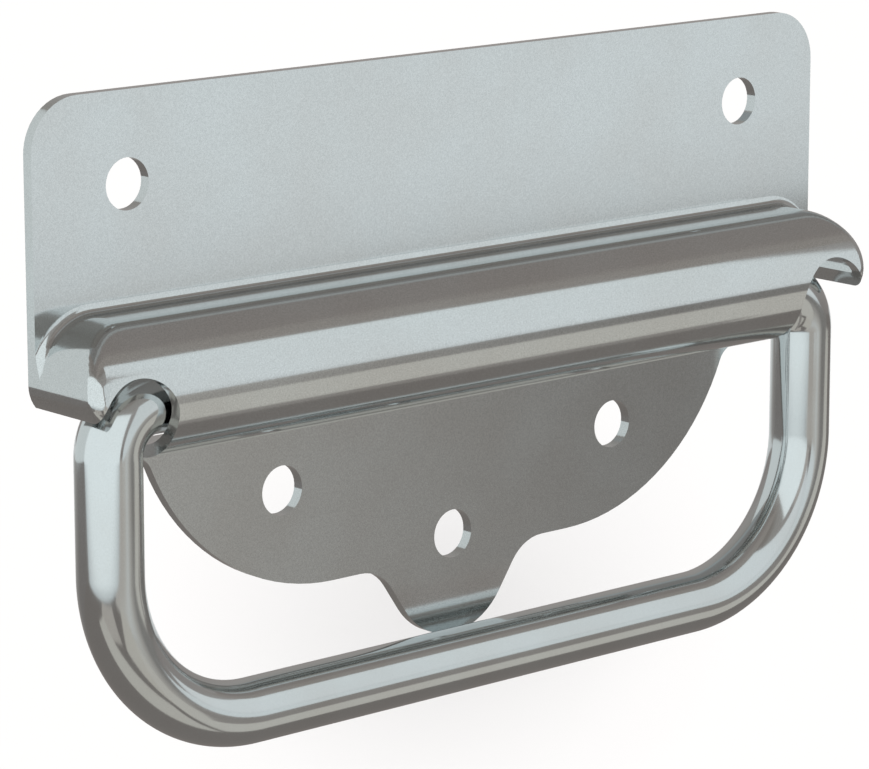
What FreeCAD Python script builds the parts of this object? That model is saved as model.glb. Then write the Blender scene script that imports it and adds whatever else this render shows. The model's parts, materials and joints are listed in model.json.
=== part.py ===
import FreeCAD, Part
import math
import os

from FreeCAD import Vector

# Chest handle: a pressed sheet steel plate with a hollow hood across it, and a round-bar bail.
# Millimetres. X runs along the handle, Z is up, and the front faces -Y.
# The origin is midway between the two upper screw holes, on the mounting face (Y = 0).

# Plate
SHEET = 1.5
PLATE_WIDTH = 127.0
UPPER_HOLE_TO_TOP = 11.0
TOP_CORNER_RADIUS = 6.5

# Screw holes
HOLE_DIAMETER = 6.2
UPPER_HOLE_SPACING = 100.0
LOWER_HOLE_SPACING = 55.0
LOWER_HOLE_DROP = 40.0
BOTTOM_HOLE_DROP = 50.0

# Bail
BAR_DIAMETER = 8.0
AXLE_DROP = 24.5
BAIL_HEIGHT = 40.1
BAIL_CORNER_RADIUS = 20.3
BAIL_SHOULDER_RADIUS = 6.0
BAIL_END_GAP = 2.0
BAR_END_CHAMFER = 0.5

# Clearances round the bail
BAR_TO_PLATE_GAP = 1.1
BAR_TO_HOOD_GAP = 0.4
LEG_TO_EAR_GAP = 0.75
LEG_TO_NOTCH_GAP = 1.85
LEG_TO_ARCH_GAP = 0.3

# Hood, outside. Its nose is a half round whose centre lies behind and above the bail's axle.
HOOD_TOP_DROP = 14.5
NOSE_CENTRE_BACK = 2.15
NOSE_CENTRE_RISE = 1.45
CROWN_ANGLE = 44.0
BROW_RADIUS = 3.0
HOOD_END_RADIUS = 1.8
HOOD_ROOT_RADIUS = 1.2
EAR_SHOULDER_RADIUS = 7.6
EAR_ROLL_RADIUS = 4.3
NOTCH_ARCH_RADIUS = 5.6
LOWER_BEND_RADIUS = 1.0

# Lower flange
ROOT_TO_NOTCH = 3.5
ROOT_RADIUS = 2.8
LOBE_RADIUS = 30.0
LOBE_BOTTOM_DROP = 52.6
TAB_RADIUS = 9.5
TAB_BOTTOM_DROP = 62.9
TAB_FLANK_ANGLE = 56.0
TAB_BLEND_RADIUS = 6.0

# Worked out from the sizes above
HALF_WIDTH = PLATE_WIDTH / 2.0
BAR_RADIUS = BAR_DIAMETER / 2.0
AXLE_Y = -SHEET - BAR_TO_PLATE_GAP - BAR_RADIUS
AXLE_Z = -AXLE_DROP
LEG_X = HALF_WIDTH - SHEET - LEG_TO_EAR_GAP - BAR_RADIUS
BAIL_BOTTOM_Z = AXLE_Z - BAIL_HEIGHT
NOSE_Y = AXLE_Y + NOSE_CENTRE_BACK
NOSE_Z = AXLE_Z + NOSE_CENTRE_RISE
NOSE_RADIUS = SHEET + BAR_TO_HOOD_GAP + BAR_RADIUS + math.hypot(NOSE_CENTRE_BACK, NOSE_CENTRE_RISE)
NOTCH_INNER_X = LEG_X - BAR_RADIUS - LEG_TO_NOTCH_GAP
NOTCH_X = NOTCH_INNER_X + NOTCH_ARCH_RADIUS
NOTCH_Z = AXLE_Z + BAR_RADIUS + LEG_TO_ARCH_GAP - NOTCH_ARCH_RADIUS
SHOULDER_Z = -HOOD_TOP_DROP - EAR_SHOULDER_RADIUS
EAR_BOTTOM_Z = SHOULDER_Z - EAR_ROLL_RADIUS
FLANGE_TOP_Z = NOSE_Z - NOSE_RADIUS - LOWER_BEND_RADIUS
HOOD_DEPTH = NOSE_RADIUS - NOSE_Y
MOUTH_RADIUS = HOOD_ROOT_RADIUS + SHEET


def side(y, z):
    """A point of a side profile."""
    return Vector(0, y, z)


def front(x, z):
    """A point of an outline on the mounting face."""
    return Vector(x, 0, z)


def on_circle(plane, centre, radius, degrees):
    """A circle's point at an angle from the plane's first axis towards +Z."""
    turn = math.radians(degrees)
    return plane(centre[0] + radius * math.cos(turn), centre[1] + radius * math.sin(turn))


def arc(plane, centre, radius, start, end):
    """An arc of a circle from one angle to another."""
    points = [on_circle(plane, centre, radius, a) for a in (start, (start + end) / 2.0, end)]
    return Part.Arc(*points).toShape()


def joined(pieces):
    """One closed wire through arcs and lines, in order, with straight lines across what is open."""
    edges = []
    for piece, following in zip(pieces, pieces[1:] + pieces[:1]):
        edges.append(piece)
        leave = piece.lastVertex(True).Point
        arrive = following.firstVertex(True).Point
        if leave.distanceToPoint(arrive) > 1e-6:
            edges.append(Part.makeLine(leave, arrive))
    return Part.Wire(edges)


def box(x, y, z):
    """A block between two limits on each axis."""
    return Part.makeBox(x[1] - x[0], y[1] - y[0], z[1] - z[0], Vector(x[0], y[0], z[0]))


def across(wire, half_length):
    """A side profile carried along X, as far to the left as to the right."""
    face = Part.Face(wire)
    face.translate(Vector(-half_length, 0, 0))
    return face.extrude(Vector(2.0 * half_length, 0, 0))


def through(wire, back, front_end):
    """A front outline carried along Y between two depths."""
    face = Part.Face(wire)
    face.translate(Vector(0, back, 0))
    return face.extrude(Vector(0, front_end - back, 0))


def mirrored(shape):
    """The same shape on the other side of the handle's middle."""
    return shape.mirror(Vector(0, 0, 0), Vector(1, 0, 0))


def crown_profile(inset, back):
    """Side profile of the hood's flat top, its slope and its nose, down to the foot of the ears."""
    nose = (NOSE_Y, NOSE_Z)
    radius = NOSE_RADIUS - inset
    top = -HOOD_TOP_DROP - inset
    bottom = EAR_BOTTOM_Z + inset
    nose_end = 180.0 + math.degrees(math.asin((NOSE_Z - bottom) / radius))
    slope_foot = on_circle(side, nose, radius, 90.0 + CROWN_ANGLE)
    brow_y = slope_foot.y + (top - slope_foot.z) / math.tan(math.radians(CROWN_ANGLE))
    return joined([
        Part.makeLine(side(back, bottom), side(back, top)),
        Part.makeLine(side(brow_y, top), slope_foot),
        arc(side, nose, radius, 90.0 + CROWN_ANGLE, nose_end),
    ])


def ear_outline(inset):
    """Front outline of the hood above its notches: round shoulders, ends rolled in below."""
    shoulder_x = HALF_WIDTH - EAR_SHOULDER_RADIUS
    roll_x = HALF_WIDTH - EAR_ROLL_RADIUS
    shoulder_radius = EAR_SHOULDER_RADIUS - inset
    roll_radius = EAR_ROLL_RADIUS - inset
    return joined([
        arc(front, (shoulder_x, SHOULDER_Z), shoulder_radius, 0, 90),
        arc(front, (-shoulder_x, SHOULDER_Z), shoulder_radius, 90, 180),
        arc(front, (-roll_x, SHOULDER_Z), roll_radius, 180, 270),
        arc(front, (roll_x, SHOULDER_Z), roll_radius, 270, 360),
    ])


def upper_outline():
    """Front outline of the plate from its top corners down to the rolled ears."""
    corner_x = HALF_WIDTH - TOP_CORNER_RADIUS
    corner_z = UPPER_HOLE_TO_TOP - TOP_CORNER_RADIUS
    roll_x = HALF_WIDTH - EAR_ROLL_RADIUS
    return joined([
        arc(front, (corner_x, corner_z), TOP_CORNER_RADIUS, 0, 90),
        arc(front, (-corner_x, corner_z), TOP_CORNER_RADIUS, 90, 180),
        arc(front, (-roll_x, SHOULDER_Z), EAR_ROLL_RADIUS, 180, 270),
        arc(front, (roll_x, SHOULDER_Z), EAR_ROLL_RADIUS, 270, 360),
    ])


def belly_profile(inset, back):
    """Side profile of the hood's lower half, as far as the bend into the lower flange."""
    bend = (-SHEET - LOWER_BEND_RADIUS, FLANGE_TOP_Z)
    return joined([
        Part.makeLine(side(back, FLANGE_TOP_Z), side(back, NOSE_Z)),
        arc(side, (NOSE_Y, NOSE_Z), NOSE_RADIUS - inset, 180, 270),
        arc(side, bend, LOWER_BEND_RADIUS + inset, 90, 0),
    ])


def flange_outline():
    """Front outline of the lower flange: two lobes and a round tab between them."""
    root_x = NOTCH_INNER_X - ROOT_TO_NOTCH
    lobe_z = LOBE_RADIUS - LOBE_BOTTOM_DROP
    lobe_x = root_x - math.sqrt(LOBE_RADIUS ** 2 - (lobe_z - FLANGE_TOP_Z) ** 2)
    root_z = FLANGE_TOP_Z - ROOT_RADIUS
    root_reach = math.sqrt((LOBE_RADIUS + ROOT_RADIUS) ** 2 - (lobe_z - root_z) ** 2)
    root_centre_x = lobe_x + root_reach
    root_angle = math.degrees(math.atan2(root_z - lobe_z, root_reach))
    tab_z = TAB_RADIUS - TAB_BOTTOM_DROP
    tab_angle = TAB_FLANK_ANGLE - 90.0
    flank_foot = on_circle(front, (0.0, tab_z), TAB_RADIUS, tab_angle)
    flank = math.radians(TAB_FLANK_ANGLE)
    corner_x = flank_foot.x + (-LOBE_BOTTOM_DROP - flank_foot.z) / math.tan(flank)
    blend_x = corner_x + TAB_BLEND_RADIUS * math.tan(flank / 2.0)
    blend_z = -LOBE_BOTTOM_DROP - TAB_BLEND_RADIUS
    blend_angle = 90.0 + TAB_FLANK_ANGLE
    return joined([
        arc(front, (root_centre_x, root_z), ROOT_RADIUS, 90, 180.0 + root_angle),
        arc(front, (lobe_x, lobe_z), LOBE_RADIUS, root_angle, -90),
        arc(front, (blend_x, blend_z), TAB_BLEND_RADIUS, 90, blend_angle),
        arc(front, (0.0, tab_z), TAB_RADIUS, tab_angle, -180.0 - tab_angle),
        arc(front, (-blend_x, blend_z), TAB_BLEND_RADIUS, 180.0 - blend_angle, 90),
        arc(front, (-lobe_x, lobe_z), LOBE_RADIUS, -90, -180.0 - root_angle),
        arc(front, (-root_centre_x, root_z), ROOT_RADIUS, -root_angle, 90),
    ])


def notch_outline():
    """Front outline of a notch: an arch over the leg, open below."""
    below = FLANGE_TOP_Z - ROOT_RADIUS
    return joined([
        Part.makeLine(front(NOTCH_INNER_X, below), front(NOTCH_INNER_X, NOTCH_Z)),
        arc(front, (NOTCH_X, NOTCH_Z), NOTCH_ARCH_RADIUS, 180, 0),
        Part.makeLine(front(NOTCH_X + NOTCH_ARCH_RADIUS, NOTCH_Z), front(NOTCH_X + NOTCH_ARCH_RADIUS, below)),
    ])


def is_sharp(shape, edge):
    """Whether the two faces at an edge meet at an angle."""
    middle = edge.valueAt((edge.FirstParameter + edge.LastParameter) / 2.0)
    normals = [f.normalAt(*f.Surface.parameter(middle)) for f in shape.ancestorsOfType(edge, Part.Face)]
    return len(normals) == 2 and normals[0].cross(normals[1]).Length > 0.05


def round_front(half, brow_radius, end_radius):
    """The hood's right half with its front edges rounded, wide along the brow and tighter at the end."""
    document = FreeCAD.newDocument("hood")
    base = document.addObject("Part::Feature", "half")
    base.Shape = half
    rounded = document.addObject("Part::Fillet", "rounded")
    rounded.Base = base
    bounds = half.BoundBox
    chosen = []
    for number, edge in enumerate(half.Edges, start=1):
        at_back = edge.BoundBox.YMax > bounds.YMax - SHEET / 2.0
        at_middle = edge.BoundBox.XMax < bounds.XMin + SHEET / 2.0
        if at_back or at_middle or not is_sharp(half, edge):
            continue
        at_brow = [v.Z > bounds.ZMax - SHEET / 2.0 for v in (edge.firstVertex(), edge.lastVertex())]
        radii = [brow_radius if high else end_radius for high in at_brow]
        chosen.append((number, radii[0], radii[1]))
    rounded.Edges = chosen
    document.recompute()
    shape = rounded.Shape.copy()
    FreeCAD.closeDocument(document.Name)
    return shape


def foot_edges(shape, depth):
    """The edges along which a block meets the wide slab that it stands on."""
    edges = []
    for e in shape.Edges:
        bounds = e.BoundBox
        in_plane = abs(bounds.YMin - depth) < 1e-3 and abs(bounds.YMax - depth) < 1e-3
        if in_plane and max(-bounds.XMin, bounds.XMax) < HALF_WIDTH + 1e-3:
            edges.append(e)
    return edges


def crown_block(inset, back):
    """The upper part of the hood as a solid block: one rounded half and its mirror image."""
    half = across(crown_profile(inset, back), HALF_WIDTH)
    half = half.common(through(ear_outline(inset), back, -HOOD_DEPTH))
    half = half.common(box((0.0, HALF_WIDTH), (-HOOD_DEPTH, back), (EAR_BOTTOM_Z, 0.0))).removeSplitter()
    half = round_front(half.Solids[0], BROW_RADIUS - inset, HOOD_END_RADIUS - inset)
    return half.fuse(mirrored(half)).removeSplitter()


def wide_slab(back, front_end):
    """A slab that reaches past the hood's outline all round."""
    reach = HALF_WIDTH + HOOD_DEPTH
    return box((-reach, reach), (front_end, back), (EAR_BOTTOM_Z - HOOD_DEPTH, UPPER_HOLE_TO_TOP))


def screw_holes():
    """One cutter for each screw hole."""
    places = [(0.0, -BOTTOM_HOLE_DROP)]
    for way in (-1, 1):
        places.append((way * UPPER_HOLE_SPACING / 2.0, 0.0))
        places.append((way * LOWER_HOLE_SPACING / 2.0, -LOWER_HOLE_DROP))
    cutters = []
    for x, z in places:
        start = Vector(x, SHEET, z)
        cutters.append(Part.makeCylinder(HOLE_DIAMETER / 2.0, 3.0 * SHEET, start, Vector(0, -1, 0)))
    return cutters


def cavity():
    """The hollow of the hood, open at the back, with the flare that the draw leaves at its mouth."""
    crown = crown_block(SHEET, SHEET)
    behind = crown.fuse(wide_slab(2.0 * SHEET, 0.0)).removeSplitter()
    flared = behind.makeFillet(MOUTH_RADIUS, foot_edges(behind, 0.0))
    inside = HALF_WIDTH - SHEET
    mouth = box((-inside, inside), (-MOUTH_RADIUS, SHEET), (SHOULDER_Z, UPPER_HOLE_TO_TOP))
    belly = across(belly_profile(SHEET, SHEET), LEG_X)
    return [crown, flared.common(mouth), belly]


def make_back_plate():
    """The plate: upper flange, hood and lower flange, pressed from one sheet."""
    drawn = wide_slab(0.0, -SHEET).fuse(crown_block(0.0, 0.0)).removeSplitter()
    drawn = drawn.makeFillet(HOOD_ROOT_RADIUS, foot_edges(drawn, -SHEET))
    upper = drawn.common(through(upper_outline(), 0.0, -HOOD_DEPTH))
    belly = across(belly_profile(0.0, 0.0), LEG_X)
    flange = through(flange_outline(), 0.0, -SHEET)
    plate = upper.fuse([belly, flange]).removeSplitter()
    notch = through(notch_outline(), SHEET, -HOOD_DEPTH)
    notches = [notch, mirrored(notch)]
    plate = plate.cut(cavity() + notches + screw_holes())
    return plate.removeSplitter()


def bail_path():
    """Centre line of the bail, from one hidden end round to the other."""
    def at(x, z):
        return Vector(x, AXLE_Y, z)

    end_x = BAIL_END_GAP / 2.0
    shoulder_x = LEG_X - BAIL_SHOULDER_RADIUS
    shoulder_z = AXLE_Z - BAIL_SHOULDER_RADIUS
    corner_x = LEG_X - BAIL_CORNER_RADIUS
    corner_z = BAIL_BOTTOM_Z + BAIL_CORNER_RADIUS
    edges = [
        Part.makeLine(at(end_x, AXLE_Z), at(shoulder_x, AXLE_Z)),
        arc(at, (shoulder_x, shoulder_z), BAIL_SHOULDER_RADIUS, 90, 0),
        Part.makeLine(at(LEG_X, shoulder_z), at(LEG_X, corner_z)),
        arc(at, (corner_x, corner_z), BAIL_CORNER_RADIUS, 0, -90),
        Part.makeLine(at(corner_x, BAIL_BOTTOM_Z), at(-corner_x, BAIL_BOTTOM_Z)),
        arc(at, (-corner_x, corner_z), BAIL_CORNER_RADIUS, -90, -180),
        Part.makeLine(at(-LEG_X, corner_z), at(-LEG_X, shoulder_z)),
        arc(at, (-shoulder_x, shoulder_z), BAIL_SHOULDER_RADIUS, 180, 90),
        Part.makeLine(at(-shoulder_x, AXLE_Z), at(-end_x, AXLE_Z)),
    ]
    return Part.Wire(edges)


def make_bail():
    """The bail: one round bar, bent to a loop whose ends lie in the hood as its axle."""
    path = bail_path()
    start = Vector(BAIL_END_GAP / 2.0, AXLE_Y, AXLE_Z)
    section = Part.Face(Part.Wire(Part.makeCircle(BAR_RADIUS, start, Vector(1, 0, 0))))
    bar = path.makePipe(section)
    rims = [e for e in bar.Edges if e.BoundBox.XLength < 1e-3 and abs(e.BoundBox.Center.x) < BAIL_END_GAP]
    return bar.makeChamfer(BAR_END_CHAMFER, rims)


os.makedirs("parts", exist_ok=True)
make_back_plate().exportStep("parts/back_plate.step")
make_bail().exportStep("parts/bail.step")
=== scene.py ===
import json
import math

import bmesh
import bpy
import numpy as np
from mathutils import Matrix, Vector


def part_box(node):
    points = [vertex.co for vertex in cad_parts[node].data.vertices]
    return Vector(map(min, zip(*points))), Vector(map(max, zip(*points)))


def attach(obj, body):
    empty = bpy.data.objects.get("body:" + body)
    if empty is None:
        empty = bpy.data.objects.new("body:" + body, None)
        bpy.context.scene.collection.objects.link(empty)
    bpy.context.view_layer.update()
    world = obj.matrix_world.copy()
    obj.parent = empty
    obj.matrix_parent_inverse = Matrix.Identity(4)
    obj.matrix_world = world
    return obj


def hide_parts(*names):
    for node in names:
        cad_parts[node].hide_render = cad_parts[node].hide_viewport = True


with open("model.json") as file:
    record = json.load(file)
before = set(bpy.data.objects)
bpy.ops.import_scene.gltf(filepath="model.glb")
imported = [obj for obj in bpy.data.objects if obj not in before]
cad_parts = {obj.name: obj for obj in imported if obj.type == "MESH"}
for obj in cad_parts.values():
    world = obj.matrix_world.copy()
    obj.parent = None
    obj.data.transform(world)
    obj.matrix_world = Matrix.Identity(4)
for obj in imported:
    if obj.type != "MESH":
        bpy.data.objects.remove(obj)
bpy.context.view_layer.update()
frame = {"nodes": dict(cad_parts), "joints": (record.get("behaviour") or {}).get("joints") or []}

MM = 0.001

# Bail
# One round steel bar, zinc plated, bent cold to a loop. Its two ends are turned inward and lie
# loose in the hood of the plate, where they are the axle. Nothing else holds it.

BAIL_CORNER = 20.3 * MM
BAIL_SHOULDER = 6.0 * MM
BAIL_END_GAP = 2.0 * MM
BAR_CHAMFER = 0.5 * MM
RING_POINTS = 96

bail_low, bail_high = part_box("bail")
bar_radius = (bail_high.y - bail_low.y) / 2
axle_y = (bail_high.y + bail_low.y) / 2
axle_z = frame["joints"][0]["pos_m"][2]
leg_x = bail_high.x - bar_radius
bottom_z = bail_low.z + bar_radius


def run(start, end, count):
    """A straight stretch: the centre goes evenly from start to end, and the heading stays."""
    t = np.linspace(0, 1, count)[:, None]
    centre = np.array(start) + t * (np.array(end) - np.array(start))
    heading = (np.array(end) - np.array(start)) / np.linalg.norm(np.array(end) - np.array(start))
    return centre, np.repeat(heading[None, :], count, axis=0)


def bend(centre, radius, start, end, count):
    """A bend: the centre is radius * (cos a, sin a) from the bend's own centre, and the heading
    is square to that, on the side that a grows or shrinks to."""
    a = np.radians(np.linspace(start, end, count))
    side = np.sign(end - start)
    points = np.array(centre) + radius * np.stack([np.cos(a), np.sin(a)], axis=1)
    return points, side * np.stack([-np.sin(a), np.cos(a)], axis=1)


def half_bail():
    """The bar's centre line in X and Z, from the right-hand end round to the bottom's middle."""
    shoulder = (leg_x - BAIL_SHOULDER, axle_z - BAIL_SHOULDER)
    corner = (leg_x - BAIL_CORNER, bottom_z + BAIL_CORNER)
    stretches = [
        run((BAIL_END_GAP / 2 + BAR_CHAMFER, axle_z), (shoulder[0], axle_z), 12),
        bend(shoulder, BAIL_SHOULDER, 90, 0, 40),
        run((leg_x, shoulder[1]), (leg_x, corner[1]), 8),
        bend(corner, BAIL_CORNER, 0, -90, 72),
        run((corner[0], bottom_z), (0, bottom_z), 16),
    ]
    centre = np.concatenate([stretches[0][0]] + [s[0][1:] for s in stretches[1:]])
    heading = np.concatenate([stretches[0][1]] + [s[1][1:] for s in stretches[1:]])
    return centre, heading


def bar_surface(centre, heading, radius):
    """The bar's skin: at each point of the centre line a ring of that radius, which is
    radius * (cos v * side + sin v * Y), where side is the heading turned a quarter turn."""
    v = np.linspace(0, 2 * np.pi, RING_POINTS, endpoint=False)
    side = np.stack([heading[:, 1], -heading[:, 0]], axis=1)
    x = centre[:, None, 0] + radius[:, None] * np.cos(v) * side[:, None, 0]
    z = centre[:, None, 1] + radius[:, None] * np.cos(v) * side[:, None, 1]
    y = axle_y + radius[:, None] * np.sin(v) * np.ones_like(x)
    return np.stack([x, y, z], axis=2)


def closed_tube(grid):
    """Faces round and along a grid of rings, with a flat cap on the first and last ring."""
    rings, around = grid.shape[:2]
    i, j = np.meshgrid(np.arange(rings - 1), np.arange(around), indexing="ij")
    k = (j + 1) % around
    quads = np.stack([i * around + j, (i + 1) * around + j, (i + 1) * around + k, i * around + k], axis=2)
    first = list(range(around))
    last = [(rings - 1) * around + n for n in reversed(range(around))]
    return quads.reshape(-1, 4).tolist() + [first, last]


half_centre, half_heading = half_bail()
other_centre = half_centre[-2::-1] * [-1, 1]
other_heading = half_heading[-2::-1] * [1, -1]
centre = np.concatenate([half_centre, other_centre])
heading = np.concatenate([half_heading, other_heading])
tip = np.array([[BAIL_END_GAP / 2, axle_z]])
centre = np.concatenate([tip, centre, tip * [-1, 1]])
heading = np.concatenate([heading[:1], heading, heading[-1:]])
radius = np.full(len(centre), bar_radius)
radius[[0, -1]] = bar_radius - BAR_CHAMFER
bail_grid = bar_surface(centre, heading, radius)

bail_mesh = bpy.data.meshes.new("bail_bar")
bail_mesh.from_pydata(bail_grid.reshape(-1, 3).tolist(), [], closed_tube(bail_grid))
fixer = bmesh.new()
fixer.from_mesh(bail_mesh)
bmesh.ops.recalc_face_normals(fixer, faces=fixer.faces)
fixer.to_mesh(bail_mesh)
fixer.free()
bail_mesh.polygons.foreach_set("use_smooth", np.ones(len(bail_mesh.polygons), dtype=bool))
bail_mesh.set_sharp_from_angle(angle=math.radians(30))
bail = bpy.data.objects.new("bail_bar", bail_mesh)
bpy.context.scene.collection.objects.link(bail)

ZINC = (0.605, 0.64, 0.645, 1)
ZINC_WARM = (0.585, 0.61, 0.61, 1)
ZINC_ROUGHNESS = 0.11
GLOSS_SPREAD = 0.03
GRAIN_SCALE = 7000.0
BAR_CLOUD_SCALE = 90.0
BAR_GRAIN = 0.03


def zinc_plating(name, cloud_scale, grain_strength):
    """Bright zinc plating on steel: a cool grey metal with faint warm clouds a few millimetres
    across, slightly uneven gloss, and the fine sparkle of the plating's grain."""
    material = bpy.data.materials.new(name)
    material.use_nodes = True
    nodes, links = material.node_tree.nodes, material.node_tree.links
    shader = nodes["Principled BSDF"]
    shader.inputs["Metallic"].default_value = 1.0
    place = nodes.new("ShaderNodeTexCoord")
    clouds = nodes.new("ShaderNodeTexNoise")
    clouds.inputs["Scale"].default_value = cloud_scale
    clouds.inputs["Detail"].default_value = 5.0
    tint = nodes.new("ShaderNodeValToRGB")
    tint.color_ramp.elements[0].position = 0.38
    tint.color_ramp.elements[0].color = ZINC_WARM
    tint.color_ramp.elements[1].position = 0.62
    tint.color_ramp.elements[1].color = ZINC
    gloss = nodes.new("ShaderNodeMapRange")
    gloss.inputs["To Min"].default_value = ZINC_ROUGHNESS - GLOSS_SPREAD
    gloss.inputs["To Max"].default_value = ZINC_ROUGHNESS + GLOSS_SPREAD
    grain = nodes.new("ShaderNodeTexNoise")
    grain.inputs["Scale"].default_value = GRAIN_SCALE
    grain.inputs["Detail"].default_value = 2.0
    sparkle = nodes.new("ShaderNodeMapRange")
    sparkle.inputs["From Min"].default_value = 0.3
    sparkle.inputs["From Max"].default_value = 0.7
    sparkle.inputs["To Min"].default_value = 1.0 - grain_strength
    sparkle.inputs["To Max"].default_value = 1.0 + grain_strength
    shade = nodes.new("ShaderNodeVectorMath")
    shade.operation = "SCALE"
    links.new(place.outputs["Object"], clouds.inputs["Vector"])
    links.new(place.outputs["Object"], grain.inputs["Vector"])
    links.new(clouds.outputs["Fac"], tint.inputs["Fac"])
    links.new(tint.outputs["Color"], shade.inputs[0])
    links.new(sparkle.outputs["Result"], shade.inputs["Scale"])
    links.new(shade.outputs["Vector"], shader.inputs["Base Color"])
    links.new(clouds.outputs["Fac"], gloss.inputs["Value"])
    links.new(gloss.outputs["Result"], shader.inputs["Roughness"])
    links.new(grain.outputs["Fac"], sparkle.inputs["Value"])
    return material


bail_mesh.materials.append(zinc_plating("zinc_on_bar", BAR_CLOUD_SCALE, BAR_GRAIN))
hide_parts("bail")
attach(bail, "bail")

# Plate
# One sheet of steel, cut and pressed in a die, then zinc plated. The two flat flanges are screwed
# to the chest, and the hollow hood between them holds the bail's ends.

CROWN_ANGLE = 44.0
BEND_STEP = 28.0
FLAT_SHARE = 1000.0
SHEET_CLOUD_SCALE = 70.0
SHEET_GRAIN = 0.10

plate_mesh = frame["nodes"]["back_plate"].data.copy()
plate_mesh.name = "pressed_plate"
fixer = bmesh.new()
fixer.from_mesh(plate_mesh)
bmesh.ops.remove_doubles(fixer, verts=fixer.verts, dist=0.0005 * MM)
fixer.to_mesh(plate_mesh)
fixer.free()
plate_mesh.polygons.foreach_set("use_smooth", np.ones(len(plate_mesh.polygons), dtype=bool))
plate_mesh.set_sharp_from_angle(angle=math.radians(BEND_STEP))
plate = bpy.data.objects.new("pressed_plate", plate_mesh)
bpy.context.scene.collection.objects.link(plate)


def pressed_normals(mesh):
    """One normal for each face corner: the sum of angle * normal over the faces round that point
    that turn less than BEND_STEP from this one, where flat sheet counts FLAT_SHARE times."""
    crown = math.radians(CROWN_ANGLE)
    flats = [(1, 0, 0), (0, 1, 0), (0, 0, 1), (0, -math.cos(crown), math.sin(crown))]
    flats = [Vector(way) for way in flats]
    shape = bmesh.new()
    shape.from_mesh(mesh)
    shape.faces.ensure_lookup_table()
    shape.normal_update()
    share = [FLAT_SHARE if max(abs(face.normal.dot(way)) for way in flats) > 0.9999998 else 1.0
             for face in shape.faces]
    normals = []
    for face in shape.faces:
        for corner in face.loops:
            total = Vector((0, 0, 0))
            for other in corner.vert.link_loops:
                if other.face.normal.dot(face.normal) > math.cos(math.radians(BEND_STEP)):
                    total += other.calc_angle() * share[other.face.index] * other.face.normal
            normals.append(total.normalized())
    shape.free()
    return normals


plate_mesh.normals_split_custom_set(pressed_normals(plate_mesh))
plate_mesh.materials.clear()
plate_mesh.materials.append(zinc_plating("zinc_on_sheet", SHEET_CLOUD_SCALE, SHEET_GRAIN))
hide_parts("back_plate")
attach(plate, "plate")

# Floor
# A plain pale floor of matt board. The camera sees it as white, and it keeps a faint shadow of the
# handle. The metal doesn't show it, because the studio's carpet lies between them.

FLOOR_Z = -0.30
FLOOR_REACH = 3.0
FLOOR_TONE = (0.80, 0.79, 0.785, 1)
FLOOR_LIFT = 0.03

gx, gy = np.meshgrid((-FLOOR_REACH, FLOOR_REACH), (-FLOOR_REACH, FLOOR_REACH))
floor_points = np.stack([gx, gy, np.full_like(gx, FLOOR_Z)], axis=2).reshape(-1, 3)
floor_mesh = bpy.data.meshes.new("floor")
floor_mesh.from_pydata(floor_points.tolist(), [], [[0, 1, 3, 2]])
floor = bpy.data.objects.new("floor", floor_mesh)
bpy.context.scene.collection.objects.link(floor)


def seen_directly(nodes, links):
    """1 for the camera's rays and for what metal and glass show, 0 for the light on other things."""
    path = nodes.new("ShaderNodeLightPath")
    first = nodes.new("ShaderNodeMath")
    first.operation = "MAXIMUM"
    both = nodes.new("ShaderNodeMath")
    both.operation = "MAXIMUM"
    links.new(path.outputs["Is Camera Ray"], first.inputs[0])
    links.new(path.outputs["Is Glossy Ray"], first.inputs[1])
    links.new(first.outputs["Value"], both.inputs[0])
    links.new(path.outputs["Is Transmission Ray"], both.inputs[1])
    return both.outputs["Value"]


floor_paint = bpy.data.materials.new("pale_floor")
floor_paint.use_nodes = True
nodes, links = floor_paint.node_tree.nodes, floor_paint.node_tree.links
board = nodes["Principled BSDF"]
board.inputs["Base Color"].default_value = FLOOR_TONE
board.inputs["Roughness"].default_value = 0.9
board.inputs["Specular IOR Level"].default_value = 0.0
board.inputs["Emission Color"].default_value = (1, 1, 1, 1)
lift = nodes.new("ShaderNodeMath")
lift.operation = "MULTIPLY"
lift.inputs[1].default_value = FLOOR_LIFT
links.new(seen_directly(nodes, links), lift.inputs[0])
links.new(lift.outputs["Value"], board.inputs["Emission Strength"])
floor_mesh.materials.append(floor_paint)

# Studio
# A closed grey room with three soft boxes, cloths and cards, which only the metal shows. Their places
# and tones were fitted to the pale and dark bands in the photograph's metal, seen from its one side.
# They stand in front of the white background, so the metal doesn't show that.

SHELL_RADIUS = 2.4
CARPET_Z = -0.285
PANEL_Y = -0.178
RIGHT_BOX_Z = (-0.058, 0.203)
LEFT_BOX_Z = (-0.132, 0.160)
CEILING_Z = 0.36
REAR_Y = 0.40


def only_in_shine(thing):
    """Marks a studio piece that is neither seen nor lights anything, but shows in the metal."""
    thing.visible_camera = False
    thing.visible_diffuse = False
    thing.visible_shadow = False
    thing.visible_transmission = False


def studio_piece(name, points, faces, material):
    """A studio piece from its points and faces, in one matt material."""
    mesh = bpy.data.meshes.new(name)
    mesh.from_pydata(np.asarray(points, dtype=float).tolist(), [], faces)
    mesh.materials.append(material)
    thing = bpy.data.objects.new(name, mesh)
    bpy.context.scene.collection.objects.link(thing)
    only_in_shine(thing)


def plain_tone(name, tone):
    """A matt tone that glows by itself, so that no lamp changes it."""
    material = bpy.data.materials.new(name)
    material.use_nodes = True
    nodes, links = material.node_tree.nodes, material.node_tree.links
    nodes.remove(nodes["Principled BSDF"])
    glow = nodes.new("ShaderNodeEmission")
    glow.inputs["Color"].default_value = (*tone, 1)
    links.new(glow.outputs["Emission"], nodes["Material Output"].inputs["Surface"])
    return material


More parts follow.
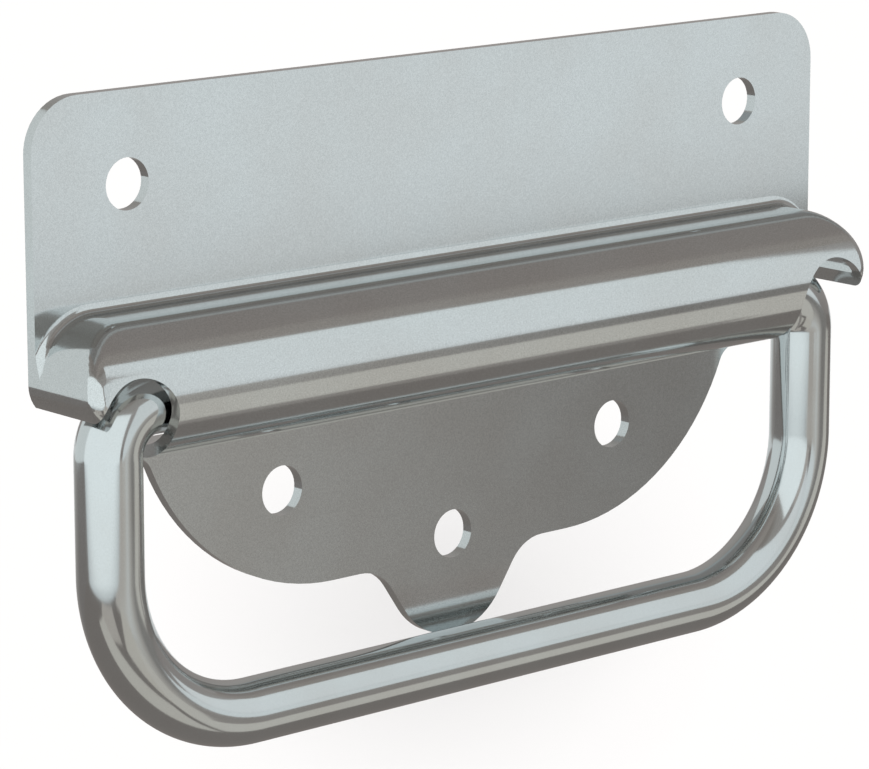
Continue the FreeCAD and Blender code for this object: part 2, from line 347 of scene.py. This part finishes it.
def banded_tone(name, way, start, end, bands):
    """A matt tone that changes along one direction: a colour ramp over position . way from start
    to end, with one stop for each (place, tone)."""
    material = plain_tone(name, bands[0][1])
    nodes, links = material.node_tree.nodes, material.node_tree.links
    place = nodes.new("ShaderNodeTexCoord")
    reach = nodes.new("ShaderNodeVectorMath")
    reach.operation = "DOT_PRODUCT"
    reach.inputs[1].default_value = way
    along = nodes.new("ShaderNodeMapRange")
    along.inputs["From Min"].default_value = start
    along.inputs["From Max"].default_value = end
    ramp = nodes.new("ShaderNodeValToRGB")
    stops = ramp.color_ramp.elements
    while len(stops) < len(bands):
        stops.new(0.5)
    for stop, (where, tone) in zip(stops, bands):
        stop.position = (where - start) / (end - start)
        stop.color = (*tone, 1)
    links.new(place.outputs["Object"], reach.inputs[0])
    links.new(reach.outputs["Value"], along.inputs["Value"])
    links.new(along.outputs["Result"], ramp.inputs["Fac"])
    links.new(ramp.outputs["Color"], nodes["Emission"].inputs["Color"])
    return material


def card(name, middle, bearing, tilt, size, material):
    """A flat card of that (width, height). Seen from the handle it lies at a bearing, in degrees
    from the front to the left, and its face is tilted down by tilt."""
    turn, lean = math.radians(bearing), math.radians(tilt)
    out = np.array([-math.sin(turn) * math.cos(lean), -math.cos(turn) * math.cos(lean), math.sin(lean)])
    wide = np.array([math.cos(turn), -math.sin(turn), 0.0]) * size[0] / 2
    tall = np.cross(wide, out) / np.linalg.norm(wide) * size[1] / 2
    middle = np.array(middle)
    corners = [middle - wide - tall, middle + wide - tall, middle + wide + tall, middle - wide + tall]
    studio_piece(name, corners, [[0, 1, 2, 3]], material)


def swept_panel(name, x, profile, material):
    """A panel swept along X: each point (y, z) of the profile, joined by straight runs."""
    profile = np.array(profile, dtype=float)
    left = np.column_stack([np.full(len(profile), x[0]), profile])
    right = np.column_stack([np.full(len(profile), x[1]), profile])
    points = np.stack([left, right], axis=1).reshape(-1, 3)
    faces = [[2 * n, 2 * n + 1, 2 * n + 3, 2 * n + 2] for n in range(len(profile) - 1)]
    studio_piece(name, points, faces, material)


def floor_cloth(name, x, y, rise, material):
    """A cloth that lies flat on the room's floor, between those limits."""
    z = CARPET_Z + rise
    corners = [(x[0], y[0], z), (x[1], y[0], z), (x[1], y[1], z), (x[0], y[1], z)]
    studio_piece(name, corners, [[0, 1, 2, 3]], material)


def shell_points(radius):
    """A ball round the handle: radius * (cos h cos a, cos h sin a, sin h), h being the height."""
    heights = np.radians(np.linspace(-90, 90, 37))
    turns = np.radians(np.linspace(0, 360, 73))
    h, a = np.meshgrid(heights, turns, indexing="ij")
    return radius * np.stack([np.cos(h) * np.cos(a), np.cos(h) * np.sin(a), np.sin(h)], axis=2)


shell = shell_points(SHELL_RADIUS)
rows, cols = shell.shape[:2]
i, j = np.meshgrid(np.arange(rows - 1), np.arange(cols - 1), indexing="ij")
shell_faces = np.stack([i * cols + j, i * cols + j + 1, (i + 1) * cols + j + 1, (i + 1) * cols + j], axis=2)
wall_grey = banded_tone("wall_grey", (0, 0, 1), -SHELL_RADIUS, SHELL_RADIUS, [
    (-0.50, (0.28, 0.25, 0.235)),
    (0.00, (0.35, 0.32, 0.305)),
    (0.80, (0.41, 0.385, 0.37)),
    (1.50, (0.39, 0.37, 0.35)),
    (1.75, (0.30, 0.27, 0.25)),
    (2.35, (0.27, 0.245, 0.23)),
])
studio_piece("room_walls", shell.reshape(-1, 3), shell_faces.reshape(-1, 4).tolist(), wall_grey)

carpet_brown = plain_tone("carpet_brown", (0.240, 0.216, 0.202))
floor_cloth("brown_carpet", (-SHELL_RADIUS, SHELL_RADIUS), (-SHELL_RADIUS, SHELL_RADIUS), 0.0, carpet_brown)
rear_cloth_tone = banded_tone("rear_cloth_tone", (1, 0.8, 0), 0.0, 2.5, [
    (0.30, (0.25, 0.23, 0.22)),
    (0.75, (0.36, 0.34, 0.325)),
    (1.00, (0.55, 0.55, 0.54)),
    (1.25, (0.77, 0.79, 0.79)),
    (2.20, (0.70, 0.71, 0.71)),
])
floor_cloth("rear_cloth", (-SHELL_RADIUS, SHELL_RADIUS), (0.45, SHELL_RADIUS), 0.001, rear_cloth_tone)
far_carpet_tone = banded_tone("far_carpet_tone", (1, 0.85, 0), -1.0, 0.5, [
    (-0.90, (0.550, 0.510, 0.470)),
    (-0.60, (0.600, 0.570, 0.530)),
    (-0.42, (0.700, 0.700, 0.680)),
    (-0.27, (0.600, 0.580, 0.550)),
    (-0.13, (0.468, 0.442, 0.412)),
    (0.00, (0.364, 0.342, 0.322)),
    (0.13, (0.273, 0.256, 0.243)),
])
floor_cloth("far_carpet", (-0.3, SHELL_RADIUS), (-1.4, -0.56), 0.001, far_carpet_tone)
right_cloth_tone = plain_tone("right_cloth_tone", (0.65, 0.62, 0.57))
floor_cloth("right_cloth", (0.08, 1.3), (-0.55, -0.145), 0.002, right_cloth_tone)
front_cloth_tone = plain_tone("front_cloth_tone", (0.62, 0.585, 0.53))
floor_cloth("front_cloth", (-0.15, 0.08), (-0.60, -0.30), 0.003, front_cloth_tone)
left_cloth_tone = plain_tone("left_cloth_tone", (0.54, 0.50, 0.46))
card("left_cloth", (-0.380, -0.243, -0.281), 54, -90, (0.30, 0.25), left_cloth_tone)
strip_beige = plain_tone("strip_beige", (0.62, 0.59, 0.54))
card("floor_strip", (-0.190, -0.126, -0.280), 15, -90, (0.50, 0.13), strip_beige)

right_box_low, right_box_high = RIGHT_BOX_Z
right_box_glow = banded_tone("right_box_glow", (0, 0, 1), right_box_low, right_box_high, [
    (right_box_low, (0.80, 0.83, 0.84)),
    (-0.048, (0.84, 0.87, 0.88)),
    (-0.038, (0.885, 0.92, 0.93)),
    (right_box_high, (0.90, 0.945, 0.955)),
])
right_box_middle = (0.195, PANEL_Y, (right_box_low + right_box_high) / 2)
card("right_box", right_box_middle, 0, 0, (0.300, right_box_high - right_box_low), right_box_glow)
left_box_low, left_box_high = LEFT_BOX_Z
left_box_glow = banded_tone("left_box_glow", (0, 0, 1), left_box_low, left_box_high, [
    (left_box_low, (0.64, 0.68, 0.69)),
    (-0.112, (0.88, 0.93, 0.94)),
    (-0.100, (1.07, 1.135, 1.145)),
])
left_box_middle = (-0.2345, -0.107, (left_box_low + left_box_high) / 2)
card("left_box", left_box_middle, 60.5, 0, (0.752, left_box_high - left_box_low), left_box_glow)
rear_box_glow = plain_tone("rear_box_glow", (0.79, 0.83, 0.83))
card("rear_box", (-0.293, 0.2755, 0.070), 162.3, 7.4, (0.477, 0.365), rear_box_glow)
far_wall_pale = plain_tone("far_wall_pale", (0.84, 0.885, 0.895))
card("far_wall", (0.93, -1.25, 0.155), 0, 0, (1.54, 0.88), far_wall_pale)
far_card_beige = plain_tone("far_card_beige", (0.54, 0.50, 0.47))
card("far_card", (-0.44, -1.2, 0.0), 20, 0, (0.90, 0.50), far_card_beige)
bail_card_dark = plain_tone("bail_card_dark", (0.34, 0.31, 0.29))
card("bail_card", (0.035, -0.040, -0.076), 0, 0, (0.12, 0.0132), bail_card_dark)

top_panel_profile = [(PANEL_Y, RIGHT_BOX_Z[1]), (PANEL_Y, CEILING_Z), (REAR_Y, CEILING_Z)]
top_panel_grey = banded_tone("top_panel_grey", (0, 1, 0), PANEL_Y, REAR_Y, [
    (PANEL_Y, (0.37, 0.335, 0.31)),
    (-0.130, (0.315, 0.28, 0.262)),
    (-0.045, (0.30, 0.27, 0.255)),
    (-0.030, (0.39, 0.40, 0.395)),
    (0.010, (0.39, 0.40, 0.395)),
    (0.030, (0.255, 0.245, 0.235)),
    (0.260, (0.27, 0.265, 0.26)),
    (0.310, (0.36, 0.385, 0.39)),
])
swept_panel("top_panel", (-0.25, 0.9), top_panel_profile, top_panel_grey)

# Light
# Even white light from all round, and one soft sun that gives the floor its shadow. They light the
# floor and the background. The metal shows neither, only the studio's pieces.

SKY_LIGHT = 0.86
SUN_FROM = (-0.63, -0.72, 0.29)
SUN_POWER = 4.0
SUN_ANGLE = 7.0

world = bpy.data.worlds.new("white_studio")
bpy.context.scene.world = world
world.use_nodes = True
nodes, links = world.node_tree.nodes, world.node_tree.links
sky = nodes["Background"]
sky.inputs["Color"].default_value = (1, 1, 1, 1)
level = nodes.new("ShaderNodeMapRange")
level.inputs["To Min"].default_value = SKY_LIGHT
level.inputs["To Max"].default_value = 1.0
links.new(seen_directly(nodes, links), level.inputs["Value"])
links.new(level.outputs["Result"], sky.inputs["Strength"])

sun = bpy.data.lights.new("key_light", "SUN")
sun.energy = SUN_POWER
sun.angle = math.radians(SUN_ANGLE)
key_light = bpy.data.objects.new("key_light", sun)
bpy.context.scene.collection.objects.link(key_light)
key_light.rotation_euler = Vector(SUN_FROM).to_track_quat("Z", "Y").to_euler()
key_light.visible_glossy = False

# Camera
# A long lens to the left of the handle and a little above it, level with the world's X.

CAMERA_PLACE = (-326.54 * MM, -371.11 * MM, 76.33 * MM)
CAMERA_TURN = 41.207
CAMERA_DIP = 12.260
CAMERA_ROLL = 0.056
FOCAL_PIXELS = 4045.85
IMAGE_WIDTH = 869

lens = bpy.data.cameras.new("photo_camera")
lens.sensor_fit = "HORIZONTAL"
lens.lens = FOCAL_PIXELS / IMAGE_WIDTH * lens.sensor_width
lens.clip_start = 0.01
camera = bpy.data.objects.new("photo_camera", lens)
bpy.context.scene.collection.objects.link(camera)
camera.location = CAMERA_PLACE
camera.rotation_euler = (
    math.radians(90 - CAMERA_DIP),
    math.radians(CAMERA_ROLL),
    math.radians(-CAMERA_TURN),
)
bpy.context.scene.camera = camera
bpy.context.scene.view_settings.view_transform = "Standard"
